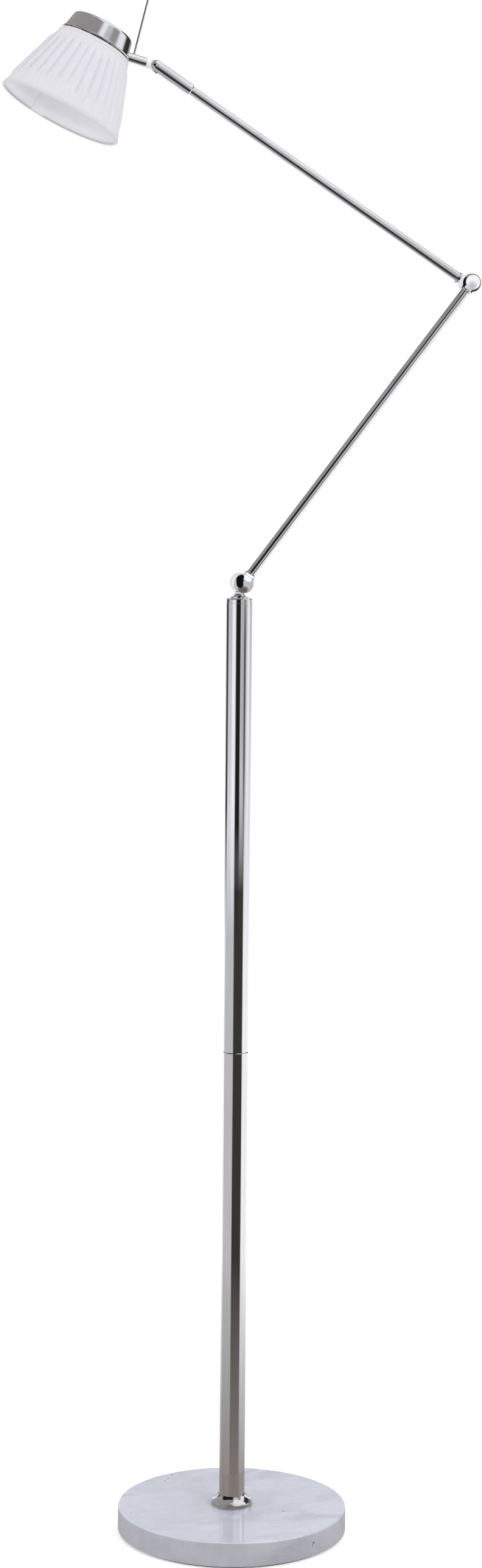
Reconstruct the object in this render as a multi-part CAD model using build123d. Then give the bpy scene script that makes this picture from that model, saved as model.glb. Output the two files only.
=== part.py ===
from build123d import *
import math
import os

# Adjustable arm floor lamp: a marble disc, a two-piece pole, two arms on double-ball friction
# joints and a pleated shade that tilts on a fork. Millimetres and degrees. The origin is under the
# centre of the disc, +Z is up, +X points to the elbow and the arm joints turn about Y.

# Marble disc, its felt and the cord outlet
base_dia = 250
base_thick = 27
base_edge_round = 1.8
felt_thick = 2
felt_inset = 5
recess_dia = 46
recess_room = 3.5
cord_hole_dia = 9
bush_bore = 6.4
bush_flange = 2.5
bush_flange_thick = 2
bush_length = 16

# Clamp under the disc
tie_dia = 10
tie_bore = 6.5
tie_tail = 2
tie_top_inset = 2
clamp_washer_dia = 34
clamp_washer_thick = 2.5
clamp_nut_flats = 17
clamp_nut_thick = 8

# Pole and collar
pole_dia = 28
pole_wall = 1.2
lower_tube_length = 505
upper_tube_length = 485.5
seam_chamfer = 0.5
tube_end_chamfer = 0.2
plug_height = 30
insert_height = 32
stud_dia = 12
stud_bore = 7
stud_reach = 26
collar_flange = 8.5
collar_height = 12
collar_rim = 4.4
collar_lip = 1.2
collar_cove = 0.6
collar_edge_round = 1.0

# Pole cap and swivel neck
cap_disc_height = 5
cap_disc_step = 0.25
cap_disc_round = 0.9
cap_spigot = 14
swivel_washer_dia = 18
swivel_washer_thick = 0.6
neck_stem_dia = 10
neck_bore = 4.6
neck_foot_dia = 18
neck_foot_edge = 1.0
neck_flare_height = 4.2
neck_spigot_dia = 8
neck_rise = 16.5
swivel_spring_dia = 17
swivel_nut_flats = 16
swivel_nut_thick = 6
swivel_tail = 2

# Double-ball joints
pole_ball_dia = 21
elbow_ball_dia = 19.5
joint_offset = 18.5
friction_washer_thick = 1
friction_washer_inset = 0.4
bolt_dia = 5
bolt_head_dia = 8.5
bolt_head_height = 4.4
bolt_head_room = 0.3
bolt_seat = 2.5
bolt_reach = 3
bolt_tip_room = 0.5
bolt_key_flats = 4
bolt_key_depth = 2.5
spring_thick = 0.8
spring_cone = 0.4
socket_web = 1.0
ferrule_wall = 1.2
ferrule_reach = 2.5
ferrule_chamfer = 0.5

# Arms
arm_dia = 10
arm_wall = 1
arm_length = 406
lower_arm_angle = 52.2
upper_arm_angle = 147.7

# Fork, nylon knuckle and stub of the head
fork_dia = 12.5
fork_length = 51
fork_bore_depth = 30
fork_chamfer = 1.0
tongue_thick = 4.8
tongue_room = 0.1
tilt_pin_dia = 3
pin_end_inset = 0.25
pin_chamfer = 0.3
knuckle_gap = 0.4
knuckle_collar = 4.4
knuckle_spigot = 12
stub_angle = 165.5
stub_dia = 10
stub_wall = 1.2
head_reach = 68.2
stub_end_room = 3

# Aiming rod
rod_dia = 2
rod_offset = 25.3
rod_length = 100
rod_tip_dia = 6

# Shade cap and post
head_tilt = 27.1
stub_below_cap = 3.95
cup_lower_dia = 74.4
cup_upper_dia = 65.6
cup_height = 19.3
cup_wall = 1.0
cup_round = 3.6
cup_bead_dia = 1.6
notch_room = 0.15
post_dia = 16
post_below_cup = 18
cup_screw_dia = 4
cup_screw_depth = 9
cup_screw_head_dia = 7.5
cup_screw_head_height = 2.2
cup_screw_slot = 1.0

# Lampholder and bulb
nipple_reach = 6
holder_flange_dia = 30
holder_flange_thick = 3
holder_dia = 24
holder_web = 2
ring_dia = 32
ring_thick = 5
ring_flutes = 12
ring_flute_dia = 3
bulb_dia = 13.5
bulb_length = 26
bulb_wall = 0.8
bulb_seat = 6
bulb_plug_height = 4
pin_spacing = 9
pin_dia = 1
pin_depth = 4

# Shade
shade_top_dia = 80.3
shade_bottom_dia = 135.6
shade_height = 79.5
shade_gap = 2.5
band_height = 11
band_thick = 0.8
pleat_count = 30
pleat_top_depth = 1.4
pleat_bottom_depth = 2.2
pleat_share = 0.8
fabric_thick = 0.6
liner_thick = 0.8
shade_wire_dia = 2.0
top_ring_inset = 3
spoke_count = 3
spoke_turn = 60
hub_width = 5
hub_thick = 2

# Clearances
fit = 0.05
running = 0.06
slide_gap = 0.1
skin_gap = 0.1

# Heights and radii that follow from the sizes above
disc_bottom = felt_thick
disc_top = disc_bottom + base_thick
recess_depth = clamp_washer_thick + clamp_nut_thick + tie_tail + recess_room
recess_top = disc_bottom + recess_depth
pole_bore = pole_dia - 2 * pole_wall
seam_height = disc_top + lower_tube_length
pole_top = seam_height + upper_tube_length
cap_top = pole_top + cap_disc_height
neck_bottom = cap_top + swivel_washer_thick + slide_gap
pivot_height = cap_top + neck_rise
ball_flat = (joint_offset - friction_washer_thick) / 2
bolt_hole = bolt_dia / 2 + running
counterbore = bolt_head_dia / 2 + bolt_head_room
spring_height = spring_thick + spring_cone
front_socket = bolt_dia / 2 + fit + socket_web
rear_socket = counterbore + socket_web
tongue_round = stub_dia / 2
fork_round = fork_dia / 2
stub_start = fork_round + knuckle_gap + knuckle_collar
cup_inside = cup_height - cup_wall
post_bottom = -post_below_cup
holder_bottom = post_bottom - nipple_reach - holder_web - pin_depth - bulb_seat
shade_top = -shade_gap
shade_bottom = shade_top - shade_height


def polar(distance, angle):
    """Offset in the arm plane at an angle above +X."""
    turn = math.radians(angle)
    return Vector(distance * math.cos(turn), 0, distance * math.sin(turn))


def along(origin, angle):
    """Frame with Z along a direction of the arm plane and X along the joint axis."""
    return Plane(origin=origin, x_dir=(0, 1, 0), z_dir=polar(1, angle)).location


def across(origin):
    """Frame with Z along the joint axis, pointing to the back."""
    return Plane(origin=origin, x_dir=(1, 0, 0), z_dir=(0, 1, 0)).location


def turned(*edges):
    """Solid turned about Z from a closed outline of radius and height."""
    return revolve(Plane.XZ * make_face(edges), Axis.Z)


def turned_points(*points):
    return turned(Polyline(*points, close=True))


def tube(outer, inner, bottom, top):
    return turned_points(
        (inner / 2, bottom), (outer / 2, bottom), (outer / 2, top), (inner / 2, top)
    )


def rod(dia, bottom, top):
    return Pos(0, 0, (bottom + top) / 2) * Cylinder(dia / 2, top - bottom)


def hexagon(flats, bottom, top):
    outline = RegularPolygon(flats / 2, 6, major_radius=False)
    return Pos(0, 0, bottom) * extrude(outline, top - bottom)


def rod_between(start, end, dia):
    """Straight wire from one point to another."""
    reach = Vector(end) - Vector(start)
    return Plane(origin=start, z_dir=reach).location * rod(dia, 0, reach.length)


# Places on the arm plane
front = Vector(0, -joint_offset, 0)
pole_pivot = Vector(0, 0, pivot_height)
elbow_pivot = pole_pivot + polar(arm_length, lower_arm_angle)
tilt_pivot = elbow_pivot + polar(arm_length, upper_arm_angle)
cup_centre = tilt_pivot + polar(head_reach, stub_angle) + polar(stub_below_cap, 90 - head_tilt)
stub_frame = along(tilt_pivot, stub_angle)
head_frame = along(cup_centre, 90 - head_tilt)


# Base and clamp
def marble_base():
    disc = rod(base_dia, disc_bottom, disc_top)
    rims = disc.edges().filter_by(GeomType.CIRCLE)
    disc = fillet(rims, base_edge_round)
    disc -= rod(recess_dia, disc_bottom, recess_top)
    disc -= rod(tie_dia + 2 * slide_gap, recess_top, disc_top)
    return disc - cord_way * rod(cord_hole_dia, 0, base_dia / 2)


def cord_bush():
    body = tube(cord_hole_dia - 2 * fit, bush_bore, base_dia / 2 - bush_length, base_dia / 2)
    flange_dia = cord_hole_dia + 2 * bush_flange
    flange = tube(flange_dia, bush_bore, base_dia / 2, base_dia / 2 + bush_flange_thick)
    outer_rim = flange.edges().filter_by(GeomType.CIRCLE).sort_by(SortBy.RADIUS)[-2:]
    rim = outer_rim.sort_by(Axis.Z)[-1]
    return cord_way * (body + fillet(rim, bush_flange_thick / 2))


cord_way = across((0, 0, disc_bottom + recess_depth / 2))
washer_bottom = recess_top - clamp_washer_thick
nut_bottom = washer_bottom - clamp_nut_thick
tie_hole = tie_dia + 2 * fit


# Pole
def base_collar():
    bore = pole_dia / 2 + fit
    rim = pole_dia / 2 + collar_flange
    shoulder = rim - collar_edge_round
    lip = pole_dia / 2 + collar_lip
    rim_top = collar_rim + collar_edge_round
    cove_mid = ((shoulder + lip) / 2 - collar_cove, (rim_top + collar_height) / 2 - collar_cove)
    corner = math.sqrt(0.5) * collar_edge_round
    edge_mid = (shoulder + corner, collar_rim + corner)
    profile = turned(
        Polyline((bore, collar_height), (bore, 0), (rim, 0), (rim, collar_rim)),
        ThreePointArc((rim, collar_rim), edge_mid, (shoulder, rim_top)),
        ThreePointArc((shoulder, rim_top), cove_mid, (lip, collar_height)),
        Line((lip, collar_height), (bore, collar_height)),
    )
    return Pos(0, 0, disc_top) * profile


def pole_tube(bottom, top, bottom_chamfer, top_chamfer):
    outer = pole_dia / 2
    inner = pole_bore / 2
    return turned_points(
        (inner, bottom),
        (outer - bottom_chamfer, bottom),
        (outer, bottom + bottom_chamfer),
        (outer, top - top_chamfer),
        (outer - top_chamfer, top),
        (inner, top),
    )


def pole_cap():
    outer = pole_dia / 2 - cap_disc_step
    spigot = pole_bore / 2 - fit
    bore = neck_stem_dia / 2 + running
    outline = make_face(
        Polyline(
            (bore, pole_top - cap_spigot),
            (spigot, pole_top - cap_spigot),
            (spigot, pole_top),
            (outer, pole_top),
            (outer, cap_top),
            (bore, cap_top),
            close=True,
        )
    )
    rim = outline.vertices().sort_by_distance((outer, cap_top))[0]
    return revolve(Plane.XZ * fillet(rim, cap_disc_round), Axis.Z)


# Swivel
def swivel_neck():
    stem = neck_stem_dia / 2
    foot = neck_foot_dia / 2
    spigot = neck_spigot_dia / 2
    foot_top = neck_bottom + neck_foot_edge
    flare_top = foot_top + neck_flare_height
    shoulder = pivot_height - math.sqrt((pole_ball_dia / 2) ** 2 - (spigot + fit) ** 2)
    bend = 1 - math.sqrt(0.5)
    flare_mid = (
        stem + bend * (foot - stem),
        foot_top + bend * neck_flare_height,
    )
    top = pivot_height - rear_socket - slide_gap
    bottom = spring_bottom - swivel_nut_thick - swivel_tail
    return turned(
        Polyline(
            (neck_bore / 2, top),
            (neck_bore / 2, bottom),
            (stem, bottom),
            (stem, neck_bottom),
            (foot, neck_bottom),
            (foot, foot_top),
        ),
        ThreePointArc((foot, foot_top), flare_mid, (stem, flare_top)),
        Polyline(
            (stem, flare_top),
            (stem, shoulder),
            (spigot, shoulder),
            (spigot, top),
            (neck_bore / 2, top),
        ),
    )


def spring_washer(bore, dia, floor):
    """Coned washer whose outer edge rests on the floor."""
    inner = bore / 2
    outer = dia / 2
    return turned_points(
        (inner, floor + spring_cone),
        (outer, floor),
        (outer, floor + spring_thick),
        (inner, floor + spring_height),
    )


spring_top = pole_top - cap_spigot - slide_gap
spring_bottom = spring_top - spring_height


# Double-ball joints, drawn along the joint axis from the rear ball's centre
def rear_ball(dia, pivot):
    """Ball with a flat to the front and the bolt's counterbore at the back."""
    radius = dia / 2
    flat_edge = math.sqrt(radius**2 - ball_flat**2)
    mouth = math.sqrt(radius**2 - counterbore**2)
    ball = turned(
        Line((bolt_hole, -ball_flat), (flat_edge, -ball_flat)),
        ThreePointArc((flat_edge, -ball_flat), (radius, 0), (counterbore, mouth)),
        Polyline(
            (counterbore, mouth),
            (counterbore, bolt_seat),
            (bolt_hole, bolt_seat),
            (bolt_hole, -ball_flat),
        ),
    )
    return across(pivot) * ball


def front_ball(dia, pivot):
    """Ball with a flat to the back and a blind threaded hole for the bolt."""
    radius = dia / 2
    thread = bolt_dia / 2 + fit
    flat_edge = math.sqrt(radius**2 - ball_flat**2)
    hole_end = -bolt_reach - bolt_tip_room
    ball = turned(
        Line((thread, ball_flat), (flat_edge, ball_flat)),
        ThreePointArc((flat_edge, ball_flat), (radius, 0), (0, -radius)),
        Polyline((0, -radius), (0, hole_end), (thread, hole_end), (thread, ball_flat)),
    )
    return across(pivot + front) * ball


def friction_washer(dia, pivot):
    flat_edge = math.sqrt((dia / 2) ** 2 - ball_flat**2)
    outer = 2 * (flat_edge - friction_washer_inset)
    washer = tube(outer, 2 * bolt_hole, -ball_flat - friction_washer_thick + slide_gap, -ball_flat)
    return across(pivot) * washer


def joint_spring(pivot):
    return across(pivot) * spring_washer(2 * bolt_hole, bolt_head_dia, bolt_seat)


def joint_bolt(pivot):
    head_bottom = bolt_seat + spring_height + slide_gap
    head_top = head_bottom + bolt_head_height
    bolt = rod(bolt_dia, -joint_offset - bolt_reach, head_bottom)
    bolt += rod(bolt_head_dia, head_bottom, head_top)
    return across(pivot) * (bolt - hexagon(bolt_key_flats, head_top - bolt_key_depth, head_top))


# Arms
def with_socket(ball, dia, pivot, angle, floor):
    """Ball with a hole that takes a tube's end, and a ferrule that stands out round it."""
    outer = arm_dia / 2 + fit + ferrule_wall
    end = dia / 2 + ferrule_reach
    ferrule = turned_points(
        (0, floor),
        (outer, floor),
        (outer, end - ferrule_chamfer),
        (outer - ferrule_chamfer, end),
        (0, end),
    )
    frame = along(pivot, angle)
    return ball + frame * ferrule - frame * rod(arm_dia + 2 * fit, floor, end)


def arm_tube(pivot, angle, start, end):
    return along(pivot, angle) * tube(arm_dia, arm_dia - 2 * arm_wall, start, end)


fork_back = fork_round - fork_length
fork_bore_end = fork_back + fork_bore_depth


# Fork, knuckle and stub
def arm_fork():
    """Sleeve with a ball end, slotted for the knuckle's tongue."""
    bore = arm_dia / 2 + fit
    sleeve = turned(
        Polyline(
            (0, fork_bore_end),
            (bore, fork_bore_end),
            (bore, fork_back),
            (fork_round - fork_chamfer, fork_back),
            (fork_round, fork_back + fork_chamfer),
            (fork_round, 0),
        ),
        ThreePointArc(
            (fork_round, 0),
            (fork_round * math.sqrt(0.5), fork_round * math.sqrt(0.5)),
            (0, fork_round),
        ),
        Line((0, fork_round), (0, fork_bore_end)),
    )
    slot_width = tongue_thick + 2 * tongue_room
    slot_floor = -tongue_round - knuckle_gap
    slot = Box(slot_width, 2 * fork_dia, fork_dia - slot_floor)
    slot = Pos(0, 0, (fork_dia + slot_floor) / 2) * slot
    pin_hole = Rot(0, 90, 0) * rod(tilt_pin_dia + 2 * fit, -fork_dia, fork_dia)
    return along(tilt_pivot, upper_arm_angle) * (sleeve - slot - pin_hole)


def tilt_pin():
    half = fork_round - pin_end_inset
    radius = tilt_pin_dia / 2
    pin = turned_points(
        (0, -half),
        (radius - pin_chamfer, -half),
        (radius, pin_chamfer - half),
        (radius, half - pin_chamfer),
        (radius - pin_chamfer, half),
        (0, half),
    )
    return across(tilt_pivot) * pin


def head_knuckle():
    """Nylon tongue, collar and spigot."""
    spigot = stub_dia / 2 - stub_wall - fit
    collar_start = fork_round + knuckle_gap
    tongue = Rot(0, 90, 0) * Cylinder(tongue_round, tongue_thick)
    shank = Box(tongue_thick, 2 * tongue_round, collar_start)
    tongue += Pos(0, 0, collar_start / 2) * shank
    collar = rod(stub_dia, collar_start, stub_start)
    tail = rod(2 * spigot, stub_start, stub_start + knuckle_spigot)
    pin_hole = Rot(0, 90, 0) * rod(tilt_pin_dia + 2 * running, -fork_dia, fork_dia)
    return stub_frame * (tongue + collar + tail - pin_hole)


def head_stub():
    body = tube(stub_dia, stub_dia - 2 * stub_wall, stub_start, head_reach - stub_end_room)
    rod_hole = Pos(0, 0, rod_offset) * Rot(90, 0, 0) * rod(rod_dia + 2 * fit, 0, stub_dia)
    return stub_frame * (body - rod_hole)


def aiming_rod():
    """Thin rod square to the stub, with a ball turned on its end."""
    root = stub_dia / 2 - stub_wall
    top = stub_dia / 2 + rod_length
    wire = rod(rod_dia, root, top) + Pos(0, 0, top) * Sphere(rod_tip_dia / 2)
    return stub_frame * Pos(0, 0, rod_offset) * Rot(90, 0, 0) * wire


# Shade cap and post, drawn along the shade's axis from the centre of the cap's lower edge
def shade_cap():
    lower = cup_lower_dia / 2
    upper = cup_upper_dia / 2
    hole = cup_screw_dia / 2 + slide_gap
    slope = (lower - upper) / cup_height
    inner_upper = upper - cup_wall + slope * cup_wall
    outline = make_face(
        Polyline(
            (lower - cup_wall, 0),
            (lower, 0),
            (upper, cup_height),
            (hole, cup_height),
            (hole, cup_inside),
            (inner_upper, cup_inside),
            close=True,
        )
    )
    outer_corner = outline.vertices().sort_by_distance((upper, cup_height))[0]
    outline = fillet(outer_corner, cup_round)
    inner_corner = outline.vertices().sort_by_distance((inner_upper, cup_inside))[0]
    outline = fillet(inner_corner, cup_round - cup_wall)
    cup = revolve(Plane.XZ * outline, Axis.Z)
    cup += Pos(0, 0, cup_bead_dia / 2) * Torus(lower, cup_bead_dia / 2)
    width = stub_dia + 2 * notch_room
    notch = rod(width, 0, head_reach)
    notch += Pos(0, width / 2, head_reach / 2) * Box(width, width, head_reach)
    return head_frame * cup - stub_frame * notch


def head_post():
    post = rod(post_dia, post_bottom, cup_inside)
    post -= rod(cup_screw_dia + 2 * fit, cup_inside - cup_screw_depth, cup_inside)
    post -= rod(tie_dia + 2 * fit, post_bottom, post_bottom + nipple_reach)
    stub_hole = rod(stub_dia + 2 * fit, 0, head_reach - stub_end_room)
    return head_frame * post - stub_frame * stub_hole


def cap_screw():
    head_dia = cup_screw_head_dia
    crown = turned(
        Line((0, cup_height), (head_dia / 2, cup_height)),
        ThreePointArc(
            (head_dia / 2, cup_height),
            (head_dia / 4, cup_height + 0.78 * cup_screw_head_height),
            (0, cup_height + cup_screw_head_height),
        ),
        Line((0, cup_height + cup_screw_head_height), (0, cup_height)),
    )
    shank = rod(cup_screw_dia, cup_inside - cup_screw_depth + slide_gap, cup_height)
    slot = Pos(0, 0, cup_height + cup_screw_head_height)
    slot *= Box(head_dia, cup_screw_slot, cup_screw_head_height)
    return head_frame * (crown + shank - slot)


# Lampholder and bulb
def lampholder_nipple():
    body = tube(tie_dia, tie_bore, post_bottom - nipple_reach, post_bottom + nipple_reach)
    return head_frame * body


def lampholder():
    """Porcelain body with a flange, a threaded skirt and a seat for the bulb."""
    flange_bottom = post_bottom - holder_flange_thick
    body = rod(holder_flange_dia, flange_bottom, post_bottom)
    body += rod(holder_dia, holder_bottom, flange_bottom)
    body -= rod(tie_dia + 2 * fit, post_bottom - nipple_reach, post_bottom)
    body -= rod(bulb_dia + 2 * slide_gap, holder_bottom, holder_bottom + bulb_seat)
    for side in (-1, 1):
        pin_hole = rod(pin_dia + 2 * fit, holder_bottom, holder_bottom + bulb_seat + pin_depth)
        body -= Pos(side * pin_spacing / 2, 0, 0) * pin_hole
    return head_frame * body


def lampholder_ring():
    top = post_bottom - holder_flange_thick - hub_thick
    ring = tube(ring_dia, holder_dia + 2 * fit, top - ring_thick, top)
    flute = rod(ring_flute_dia, top - ring_thick, top)
    ring -= PolarLocations(ring_dia / 2 + ring_flute_dia / 4, ring_flutes) * flute
    return head_frame * ring


def bulb_glass():
    """Small capsule, closed and round at its lower end."""
    outer = bulb_dia / 2
    inner = outer - bulb_wall
    top = holder_bottom + bulb_seat - slide_gap
    round_at = holder_bottom - bulb_length + outer
    bend = math.sqrt(0.5)
    capsule = turned(
        Polyline((inner, round_at), (inner, top), (outer, top), (outer, round_at)),
        ThreePointArc(
            (outer, round_at), (outer * bend, round_at - outer * bend), (0, round_at - outer)
        ),
        Line((0, round_at - outer), (0, round_at - inner)),
        ThreePointArc(
            (0, round_at - inner), (inner * bend, round_at - inner * bend), (inner, round_at)
        ),
    )
    return head_frame * capsule


def bulb_plug():
    top = holder_bottom + bulb_seat - slide_gap
    plug = rod(bulb_dia - 2 * bulb_wall - 2 * fit, top - bulb_plug_height, top)
    for side in (-1, 1):
        pin_hole = rod(pin_dia + 2 * fit, top - bulb_plug_height, top)
        plug -= Pos(side * pin_spacing / 2, 0, 0) * pin_hole
    return head_frame * plug


def bulb_pins():
    bottom = holder_bottom + bulb_seat - slide_gap - bulb_plug_height
    top = holder_bottom + bulb_seat + pin_depth - slide_gap
    pins = [Pos(side * pin_spacing / 2, 0, 0) * rod(pin_dia, bottom, top) for side in (-1, 1)]
    return head_frame * Compound(pins)


# Shade skins, from the outside in
def shade_radius(height, inset):
    """Outer radius of the shade at a height on its axis, less an inset."""
    share = (shade_top - height) / shade_height
    return (shade_top_dia + share * (shade_bottom_dia - shade_top_dia)) / 2 - inset


def pleat_depth(height):
    share = (shade_top - height) / shade_height
    return pleat_top_depth + share * (pleat_bottom_depth - pleat_top_depth)


def cone_skin(top, bottom, outer_inset, thick):
    return turned_points(
        (shade_radius(bottom, outer_inset + thick), bottom),
        (shade_radius(bottom, outer_inset), bottom),
        (shade_radius(top, outer_inset), top),
        (shade_radius(top, outer_inset + thick), top),
    )


def shade_band(top):
    return head_frame * cone_skin(top, top - band_height, 0, band_thick)


def liner_outer(height):
    return shade_radius(height, cover_inset + fabric_thick + skin_gap) - pleat_depth(height)


def shade_liner():
    return head_frame * turned_points(
        (liner_outer(shade_bottom) - liner_thick, shade_bottom),
        (liner_outer(shade_bottom), shade_bottom),
        (liner_outer(shade_top), shade_top),
        (liner_outer(shade_top) - liner_thick, shade_top),
    )


def pleat_outline(height):
    """Saw-tooth ring of knife pleats at a height on the axis."""
    crest = shade_radius(height, cover_inset)
    valley = crest - pleat_depth(height)
    step = 2 * math.pi / pleat_count
    points = []
    for pleat in range(pleat_count):
        for radius, share in ((valley, 0), (crest, pleat_share)):
            turn = (pleat + share) * step
            points.append((radius * math.cos(turn), radius * math.sin(turn), height))
    return make_face(Polyline(*points, close=True))


def shade_cover():
    """Pleated fabric: two saw-tooth rings lofted, with a smooth inside on the liner."""
    bottom = shade_bottom + shade_wire_dia + skin_gap
    pleats = loft([pleat_outline(bottom), pleat_outline(shade_top)], ruled=True)
    core = turned_points(
        (0, bottom),
        (liner_outer(bottom) + skin_gap, bottom),
        (liner_outer(shade_top) + skin_gap, shade_top),
        (0, shade_top),
    )
    return head_frame * (pleats - core)


def wire_offset():
    """Level distance from the liner's slanted face to the middle of a wire that lies on it."""
    reach = (liner_outer(shade_bottom) - liner_outer(shade_top)) / shade_height
    return (shade_wire_dia / 2 + skin_gap) * math.sqrt(1 + reach**2)


def shade_fitter():
    """Hub that the lampholder's ring clamps, three spokes and the top ring, welded."""
    hub_top = post_bottom - holder_flange_thick
    hub_bore = holder_dia + 2 * fit
    hub_mid = hub_top - hub_thick / 2
    top_ring = shade_top - top_ring_inset
    ring_radius = liner_outer(top_ring) - liner_thick - wire_offset()
    fitter = tube(hub_bore + 2 * hub_width, hub_bore, hub_top - hub_thick, hub_top)
    fitter += Pos(0, 0, top_ring) * Torus(ring_radius, shade_wire_dia / 2)
    spoke = rod_between(
        (hub_bore / 2 + hub_width - hub_thick / 2, 0, hub_mid),
        (ring_radius, 0, top_ring),
        hub_thick,
    )
    for turn in range(spoke_count):
        fitter += Rot(0, 0, spoke_turn + turn * 360 / spoke_count) * spoke
    return head_frame * fitter


def shade_bottom_ring():
    """Wire in the hem, between the liner and the band."""
    height = shade_bottom + shade_wire_dia / 2
    radius = liner_outer(height) + wire_offset()
    return head_frame * Pos(0, 0, height) * Torus(radius, shade_wire_dia / 2)


cover_inset = band_thick + skin_gap
lower_back = lower_arm_angle + 180
neck_socket = Pos(0, 0, pivot_height) * rod(
    neck_spigot_dia + 2 * fit, -pole_ball_dia, -rear_socket
)

nodes = {
    "marble_base": marble_base(),
    "base_felt_pad": rod(base_dia - 2 * felt_inset, 0, felt_thick),
    "cord_bush": cord_bush(),
    "clamp_washer": tube(clamp_washer_dia, tie_hole, washer_bottom, recess_top),
    "clamp_nut": hexagon(clamp_nut_flats, nut_bottom, washer_bottom)
    - rod(tie_hole, nut_bottom, washer_bottom),
    "tie_tube": tube(tie_dia, tie_bore, nut_bottom - tie_tail, disc_top + plug_height - tie_top_inset),
    "base_collar": base_collar(),
    "pole_foot_plug": tube(pole_bore - 2 * fit, tie_hole, disc_top, disc_top + plug_height),
    "lower_pole_tube": pole_tube(disc_top, seam_height, tube_end_chamfer, seam_chamfer),
    "lower_pole_insert": tube(
        pole_bore - 2 * fit, stud_dia + 2 * fit, seam_height - insert_height, seam_height
    ),
    "pole_stud": tube(stud_dia, stud_bore, seam_height - stud_reach, seam_height + stud_reach),
    "upper_pole_insert": tube(
        pole_bore - 2 * fit, stud_dia + 2 * fit, seam_height, seam_height + insert_height
    ),
    "upper_pole_tube": pole_tube(seam_height, pole_top, seam_chamfer, tube_end_chamfer),
    "pole_cap": pole_cap(),
    "swivel_washer": tube(
        swivel_washer_dia, neck_stem_dia + 2 * running, cap_top, cap_top + swivel_washer_thick
    ),
    "swivel_neck": swivel_neck(),
    "swivel_spring_washer": spring_washer(
        neck_stem_dia + 2 * fit, swivel_spring_dia, spring_bottom
    ),
    "swivel_nut": hexagon(swivel_nut_flats, spring_bottom - swivel_nut_thick, spring_bottom)
    - rod(neck_stem_dia + 2 * fit, spring_bottom - swivel_nut_thick, spring_bottom),
    "pole_joint_rear_ball": rear_ball(pole_ball_dia, pole_pivot) - neck_socket,
    "pole_joint_friction_washer": friction_washer(pole_ball_dia, pole_pivot),
    "pole_joint_spring_washer": joint_spring(pole_pivot),
    "pole_joint_front_ball": with_socket(
        front_ball(pole_ball_dia, pole_pivot),
        pole_ball_dia,
        pole_pivot + front,
        lower_arm_angle,
        front_socket,
    ),
    "pole_joint_bolt": joint_bolt(pole_pivot),
    "lower_arm_tube": arm_tube(
        pole_pivot + front, lower_arm_angle, front_socket + fit, arm_length - front_socket - fit
    ),
    "elbow_front_ball": with_socket(
        front_ball(elbow_ball_dia, elbow_pivot),
        elbow_ball_dia,
        elbow_pivot + front,
        lower_back,
        front_socket,
    ),
    "elbow_bolt": joint_bolt(elbow_pivot),
    "elbow_rear_ball": with_socket(
        rear_ball(elbow_ball_dia, elbow_pivot),
        elbow_ball_dia,
        elbow_pivot,
        upper_arm_angle,
        rear_socket,
    ),
    "elbow_friction_washer": friction_washer(elbow_ball_dia, elbow_pivot),
    "elbow_spring_washer": joint_spring(elbow_pivot),
    "upper_arm_tube": arm_tube(
        elbow_pivot, upper_arm_angle, rear_socket + fit, arm_length + fork_bore_end - fit
    ),
    "arm_fork": arm_fork(),
    "tilt_pin": tilt_pin(),
    "head_knuckle": head_knuckle(),
    "head_stub": head_stub(),
    "aiming_rod": aiming_rod(),
    "head_post": head_post(),
    "shade_cap": shade_cap(),
    "cap_screw": cap_screw(),
    "lampholder_nipple": lampholder_nipple(),
    "lampholder": lampholder(),
    "lampholder_ring": lampholder_ring(),
    "bulb_glass": bulb_glass(),
    "bulb_plug": bulb_plug(),
    "bulb_pins": bulb_pins(),
    "shade_fitter": shade_fitter(),
    "shade_bottom_ring": shade_bottom_ring(),
    "shade_liner": shade_liner(),
    "shade_cover": shade_cover(),
    "shade_top_band": shade_band(shade_top),
    "shade_bottom_band": shade_band(shade_bottom + band_height),
}

os.makedirs("parts", exist_ok=True)
for name, shape in nodes.items():
    export_step(shape, f"parts/{name}.step")
print(len(nodes), "pieces; pivots", pole_pivot, elbow_pivot, tilt_pivot, "cap", cup_centre)
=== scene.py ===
import math
import random

import bmesh
import bpy
from mathutils import Matrix, Vector, noise


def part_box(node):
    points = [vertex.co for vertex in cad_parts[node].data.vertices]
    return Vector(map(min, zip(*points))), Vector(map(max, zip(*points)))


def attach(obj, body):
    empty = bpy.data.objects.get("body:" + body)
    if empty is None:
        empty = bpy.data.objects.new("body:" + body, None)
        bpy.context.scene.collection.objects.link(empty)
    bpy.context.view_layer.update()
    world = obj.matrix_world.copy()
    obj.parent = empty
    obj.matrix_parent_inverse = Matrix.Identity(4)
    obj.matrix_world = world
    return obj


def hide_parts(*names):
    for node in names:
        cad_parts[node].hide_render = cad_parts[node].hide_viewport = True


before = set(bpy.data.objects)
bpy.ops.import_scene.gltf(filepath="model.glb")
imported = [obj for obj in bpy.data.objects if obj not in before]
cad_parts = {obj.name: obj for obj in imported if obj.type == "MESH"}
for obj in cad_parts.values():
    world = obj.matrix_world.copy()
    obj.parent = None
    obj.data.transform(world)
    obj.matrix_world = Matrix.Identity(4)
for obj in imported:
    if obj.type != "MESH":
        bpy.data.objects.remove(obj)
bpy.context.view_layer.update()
scene = bpy.context.scene
print("frame loaded:", len(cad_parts), "nodes")


# Small tools that the finishes and pieces share

def linearColour(code):  # sRGB hex to linear RGBA
    levels = [int(code[start:start + 2], 16) / 255 for start in (1, 3, 5)]
    linear = [level / 12.92 if level <= 0.04045 else ((level + 0.055) / 1.055) ** 2.4 for level in levels]
    return (*linear, 1.0)


def perMm(size):  # scale of a texture whose features are this many millimetres wide
    return 1000 / size


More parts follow.
